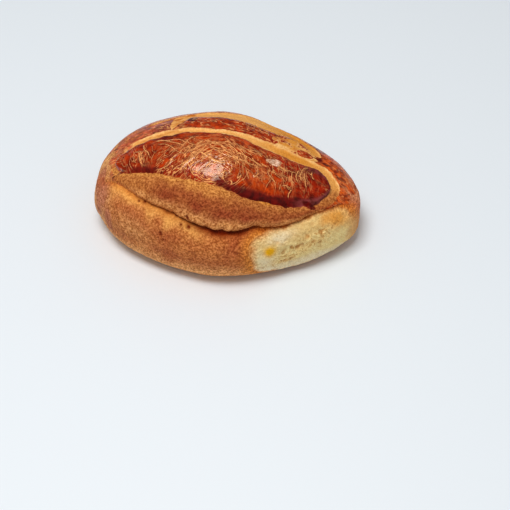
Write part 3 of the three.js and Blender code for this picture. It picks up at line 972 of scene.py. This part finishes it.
# ---------- Finish of the crust
# One finish covers the bun. The bare crust is matte toasted dough with a fine dark and pale grain
# and pale specks; where little grain shows it is streaked, and the torn crumb is pitted.
GRAIN_SIZE = 0.85
SPECK_SIZE = 0.5
BLOTCH_SIZE = 1.6
BLOTCH_TINTS = ((1.13, 1.19, 1.24), (0.84, 0.74, 0.65))
GRAIN_TINTS = ((1.24, 1.34, 1.60), (0.62, 0.48, 0.36))
PALE_SPECKS = Sizes(level=(0.54, 0.66), most=0.5, tint=(1.35, 1.55, 1.95))
STREAKS = Sizes(size=0.9, stretch=(0.12, 1, 1), level=(0.35, 0.75), tint=(0.88, 0.76, 0.62), share=0.8)
PITS = Sizes(size=0.95, roughness=0.6, level=(0.48, 0.38), tint=(0.70, 0.52, 0.34))


def connect(tree, node, inputs):
    """Link or set the inputs of a shader node."""
    for socket, value in inputs.items():
        if isinstance(value, bpy.types.NodeSocket):
            tree.links.new(value, node.inputs[socket])
        else:
            node.inputs[socket].default_value = value


def add_node(tree, kind, inputs=None, **settings):
    """A shader node with its settings, and its inputs linked or set."""
    node = tree.nodes.new("ShaderNode" + kind)
    for name, value in settings.items():
        setattr(node, name, value)
    connect(tree, node, inputs or {})
    return node


finish = bpy.data.materials.new("baked_crust")
finish.use_nodes = True
nodes = finish.node_tree
position = add_node(nodes, "TexCoord").outputs["Object"]


def read(name, output="Fac"):
    """What the skin keeps under a name."""
    return add_node(nodes, "Attribute", attribute_name=name).outputs[output]


def calc(operation, *values):
    return add_node(nodes, "Math", dict(enumerate(values)), operation=operation).outputs[0]


def product(first, *others):
    for other in others:
        first = calc("MULTIPLY", first, other)
    return first


def swing(value, amount):
    """A random value from 0 to 1, made to swing evenly about 0."""
    return product(calc("SUBTRACT", value, 0.5), amount)


def between(value, low, high, to_low=0.0, to_high=1.0):
    """A smooth change from to_low to to_high while a value goes from low to high."""
    inputs = {"Value": value, "From Min": low, "From Max": high, "To Min": to_low, "To Max": to_high}
    return add_node(nodes, "MapRange", inputs, interpolation_type="SMOOTHSTEP").outputs[0]


def mix(cover, under, over):
    return add_node(nodes, "Mix", {0: cover, 6: under, 7: over}, data_type="RGBA").outputs[2]


def scaled(tone, tint):
    return add_node(nodes, "VectorMath", {0: tone, 1: tint}, operation="MULTIPLY").outputs[0]


def vary(value, tone, tints, low=0.36, high=0.64):
    """A tone tinted one way where a random value is low and the other way where it is high."""
    return mix(between(value, low, high), scaled(tone, tints[0]), scaled(tone, tints[1]))


def noise(size, detail=3.0, vector=position, per_unit=1 / MM, roughness=0.5, **settings):
    """Random values from 0 to 1 in lumps about size mm across."""
    inputs = {"Vector": vector, "Scale": per_unit / size, "Detail": detail, "Roughness": roughness}
    return add_node(nodes, "TexNoise", inputs, **settings).outputs[0]


grain = noise(GRAIN_SIZE)
speck = noise(SPECK_SIZE, 2.0)
bare = read("crust_tone", "Vector")
speckled = read("speckle")
blotched = vary(noise(BLOTCH_SIZE), bare, BLOTCH_TINTS)
grained = vary(grain, blotched, GRAIN_TINTS)
speck_cover = between(speck, *PALE_SPECKS.level, 0.0, PALE_SPECKS.most)
dusted = mix(speck_cover, grained, scaled(bare, PALE_SPECKS.tint))
flecked = mix(speckled, bare, dusted)
streaks = noise(STREAKS.size, vector=scaled(read("place", "Vector"), STREAKS.stretch), per_unit=1.0)
streaked = mix(between(streaks, *STREAKS.level), flecked, scaled(flecked, STREAKS.tint))
smooth_share = product(calc("SUBTRACT", 1.0, speckled), STREAKS.share)
bare_colour = mix(smooth_share, flecked, streaked)
pits = product(between(noise(PITS.size, roughness=PITS.roughness), *PITS.level), read("crumbly"))
crust_colour = mix(pits, bare_colour, scaled(bare_colour, PITS.tint))


# ---------- Finish of the egg film
# Where egg was brushed, a glossy mahogany film lies over the crust. Its cracks and the fine strokes
# between them show pale dough, each with painted shade in a groove beside it, and its edge is ragged.
CRACK_WOBBLE = 0.45
CRACK_REACH = (1.15, 0.8)  # mm from a crack at which it starts to show, and shows fully
CRACK_EDGE = (-0.10, 0.10)
CRACK_STRENGTH = (0.03, 0.16, 0.45, 1.0)
CRACK_GROOVE_SHADE = Sizes(outer=(-0.55, -0.25), inner=(0.0, -0.1), present=(0.02, 0.12))
STROKE = Sizes(size=1.0, repeats=5, line=(0.18, 0.12), gap_start=(0.16, 0.21), gap_end=(0.40, 0.28))
STROKE_PATCH = Sizes(size=1.3, level=(0.34, 0.46))
FILM_MOTTLE = Sizes(size=2.6, level=(0.38, 0.66), tints=((1.22, 1.22, 1.1), (0.52, 0.32, 0.2)))
FILM_FLECKS = Sizes(level=(0.52, 0.66), share=0.35, tint=(1.35, 1.5, 1.6))
GROOVE_SHADE = Sizes(share=0.9, tint=(0.45, 0.26, 0.18))
PALE_DOUGH = (1.0, 0.44, 0.14, 1.0)
LINE_COVER = 0.97
LINE_TONED = Sizes(level=(0.38, 0.62), most=0.3)
FILM_EDGE = Sizes(rag_size=1.1, rag=0.9, width=0.14)
DULL = 0.80
SHINY = 0.22
LINE_ROUGHNESS = 0.14
COAT = Sizes(most=0.9, lost_in_line=0.45, roughness=0.11)


def crack_line(name):
    """A pale line down each crack and painted shade in a groove on either side of it."""
    parts = add_node(nodes, "SeparateXYZ", {0: read(name, "Vector")}).outputs
    within = calc("SUBTRACT", parts["Z"], calc("ABSOLUTE", parts["X"]))
    within = calc("ADD", within, swing(speck, CRACK_WOBBLE))
    near = between(parts["Y"], *CRACK_REACH)
    line = product(between(within, *CRACK_EDGE), near, between(parts["Z"], *CRACK_STRENGTH))
    beside = product(between(within, *CRACK_GROOVE_SHADE.outer), between(within, *CRACK_GROOVE_SHADE.inner))
    return line, product(beside, near, between(parts["Z"], *CRACK_GROOVE_SHADE.present))


def stroke_lines(name):
    """Fine pale lines along the strokes under a name, with painted shade in gaps beside them."""
    way = read(name, "Vector")
    share = add_node(nodes, "SeparateXYZ", {0: way}).outputs["Z"]
    bends = noise(STROKE.size, 1.0, way, 1.0, noise_dimensions="2D")
    level = calc("PINGPONG", product(bends, STROKE.repeats), 0.5)
    patches = noise(STROKE_PATCH.size, 0.0, way, 1.0, noise_dimensions="2D")
    present = product(between(patches, *STROKE_PATCH.level), share)
    gap = product(between(level, *STROKE.gap_start), between(level, *STROKE.gap_end), present)
    return product(between(level, *STROKE.line), present), gap


drawn = [crack_line("crack"), crack_line("cross_crack")]
drawn += [stroke_lines(name) for name in ("fine_strokes", "run_strokes", "arc_strokes")]
lines, gap_shade = drawn[0]
for line, gap in drawn[1:]:
    lines = calc("MAXIMUM", lines, line)
    gap_shade = calc("MAXIMUM", gap_shade, gap)
crackling = read("crackled")
crazing = product(lines, crackling)
# The grooves and gaps beside the pale lines are darkened: painted shade.
groove_shade = product(gap_shade, crackling, GROOVE_SHADE.share)

film_tone = read("glaze_tone", "Vector")
broad = noise(FILM_MOTTLE.size)
mottled = vary(broad, film_tone, FILM_MOTTLE.tints, *FILM_MOTTLE.level)
flecks = product(between(grain, *FILM_FLECKS.level), FILM_FLECKS.share)
mottled = mix(flecks, mottled, scaled(film_tone, FILM_FLECKS.tint))
groove_shaded = mix(groove_shade, mottled, scaled(mottled, GROOVE_SHADE.tint))
pale_line = mix(between(broad, *LINE_TONED.level, 0.0, LINE_TONED.most), PALE_DOUGH, film_tone)
film_colour = mix(product(crazing, LINE_COVER), groove_shaded, pale_line)

ragged = calc("ADD", read("glaze_edge"), swing(noise(FILM_EDGE.rag_size), FILM_EDGE.rag))
film = product(between(ragged, -FILM_EDGE.width, FILM_EDGE.width), read("cover"))
shine = product(film, read("gloss"))
roughness = calc("ADD", between(shine, 0.0, 1.0, DULL, SHINY), product(crazing, film, LINE_ROUGHNESS))
coat = product(shine, calc("SUBTRACT", COAT.most, product(crazing, COAT.lost_in_line)))


# ---------- Fine relief of the finish
# Too fine for the mesh: grain stands up on the matte crust, lines and wrinkles on the film, and the
# torn crumb is rough with pores.
GRAIN_HEIGHT = 0.46
SPECK_HEIGHT = 0.2
CRUMB_ROUGH = Sizes(size=0.8, detail=4.0, roughness=0.65, height=0.5)
LINE_HEIGHT = 0.18
WRINKLE = Sizes(size=0.9, height=0.15)
EGG_IOR = 1.45
SPECULAR = 0.22

crust_height = calc("ADD", swing(grain, GRAIN_HEIGHT), swing(speck, SPECK_HEIGHT))
crumb = noise(CRUMB_ROUGH.size, CRUMB_ROUGH.detail, roughness=CRUMB_ROUGH.roughness)
crumb_height = product(crumb, read("torn"), CRUMB_ROUGH.height)
matte_height = product(calc("ADD", crust_height, crumb_height), calc("SUBTRACT", 1.0, film))
wrinkle_height = product(noise(WRINKLE.size), WRINKLE.height)
film_height = product(calc("ADD", product(crazing, LINE_HEIGHT), wrinkle_height), film)
bump_height = calc("ADD", matte_height, film_height)
bump = add_node(nodes, "Bump", {"Height": bump_height, "Distance": MM, "Strength": 1.0})
surface_inputs = {
    "Base Color": mix(film, crust_colour, film_colour),
    "Roughness": roughness,
    "Coat Weight": coat,
    "Coat Roughness": COAT.roughness,
    "IOR": EGG_IOR,
    "Specular IOR Level": SPECULAR,
    "Normal": bump.outputs[0],
}
connect(nodes, nodes.nodes["Principled BSDF"], surface_inputs)
crust_mesh.materials.append(finish)


# ---------- Unwrapped crust
# The skin is laid out flat for its baked maps: along the bun one way and round it the other, slit
# open underneath and at the two tips.
UV_MARGIN = 0.004

column, row = corners.T
middle = COLUMNS // 2
heights = np.append(distance[middle], distance_at(dough, SECTION_ANGLES[-1])[middle])
u = column / (COLUMNS - 1)
v = np.interp(row, np.arange(ROWS + 1), heights / heights[-1])
uv = UV_MARGIN + (1 - 2 * UV_MARGIN) * np.stack([u, v], axis=-1)
layer = crust_mesh.uv_layers.new(name="OFBake")
layer.data.foreach_set("uv", uv.astype(np.float32).ravel())

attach(crust, "root")
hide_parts("pogaca_bun")


# ---------- Table
# The bun rests on a plain pale table with a satin finish, wide enough to fill the picture. The
# table isn't part of the object.
TABLE_SIZE = 4.0
TABLE_TONE = (0.78, 0.83, 0.87, 1)
TABLE_ROUGHNESS = 0.5

corner = TABLE_SIZE / 2
table_corners = [(-corner, -corner, 0), (corner, -corner, 0), (corner, corner, 0), (-corner, corner, 0)]
table_mesh = bpy.data.meshes.new("table")
table_mesh.from_pydata(table_corners, [], [(0, 1, 2, 3)])
table = add_object("table", table_mesh)
table_finish = bpy.data.materials.new("table")
table_finish.use_nodes = True
table_nodes = table_finish.node_tree
table_inputs = {"Base Color": TABLE_TONE, "Roughness": TABLE_ROUGHNESS}
connect(table_nodes, table_nodes.nodes["Principled BSDF"], table_inputs)
table_mesh.materials.append(table_finish)


# ---------- Light
# A tent of white cloth lights the bun evenly from all round and shows only faintly in the glaze. A
# softbox in front adds the soft shadow, and a warm one overhead shows only as the glaze's highlight.
# Places and sizes are in metres and powers in watts.
KEY = Sizes(place=(-0.13, -0.26, 1.02), size=(0.5, 0.4), power=8.0)
GLINT = Sizes(place=(-0.09, 0.09, 1.00), size=(0.42, 0.30), power=4.6)
GLINT_COLOUR = (1.0, 0.80, 0.62)
LIGHT_AIM = (0, 0, 0.02)
TENT_LIGHT = 0.42
TENT_IN_GLAZE = 0.035


def hang_softbox(name, box):
    """A rectangular lamp that points at the bun."""
    light = bpy.data.lights.new(name, "AREA")
    light.shape = "RECTANGLE"
    light.size, light.size_y = box.size
    light.energy = box.power
    hung = add_object(name, light)
    hung.location = box.place
    hung.rotation_euler = (Vector(LIGHT_AIM) - Vector(box.place)).to_track_quat("-Z", "Y").to_euler()
    return hung


glint = hang_softbox("glint", GLINT)
glint.visible_diffuse = False
glint.data.color = GLINT_COLOUR
key = hang_softbox("key", KEY)
key.visible_glossy = False

room = bpy.data.worlds.new("room")
room.use_nodes = True
room_nodes = room.node_tree
seen_in_glaze = add_node(room_nodes, "LightPath").outputs["Is Glossy Ray"]
tent_range = {"Value": seen_in_glaze, "To Min": TENT_LIGHT, "To Max": TENT_IN_GLAZE}
tent_strength = add_node(room_nodes, "MapRange", tent_range).outputs[0]
tent_inputs = {"Color": (1, 1, 1, 1), "Strength": tent_strength}
connect(room_nodes, room_nodes.nodes["Background"], tent_inputs)
bpy.context.scene.world = room
bpy.context.scene.view_settings.view_transform = "Standard"


# ---------- Camera
# A long lens looks down on the bun from the front and a little from the right, with its narrower
# end to the right.
CAMERA_AZIMUTH = 7.7
CAMERA_ELEVATION = 44.5
CAMERA_DISTANCE = 0.7904
CAMERA_AIM = Vector((15.302, -22.248, 0)) * MM + Vector(shift) * MM
SENSOR = 36.0
PICTURE_PIXELS = 510
FOCAL_PIXELS = 1750

camera_data = bpy.data.cameras.new("camera")
camera_data.sensor_width = SENSOR
camera_data.lens = FOCAL_PIXELS / PICTURE_PIXELS * SENSOR
camera = add_object("camera", camera_data)
turn = math.radians(CAMERA_AZIMUTH)
lift = math.radians(CAMERA_ELEVATION)
towards_camera = Vector(
    (math.sin(turn) * math.cos(lift), -math.cos(turn) * math.cos(lift), math.sin(lift))
)
camera.location = CAMERA_AIM + CAMERA_DISTANCE * towards_camera
camera.rotation_euler = towards_camera.to_track_quat("Z", "Y").to_euler()
bpy.context.scene.camera = camera
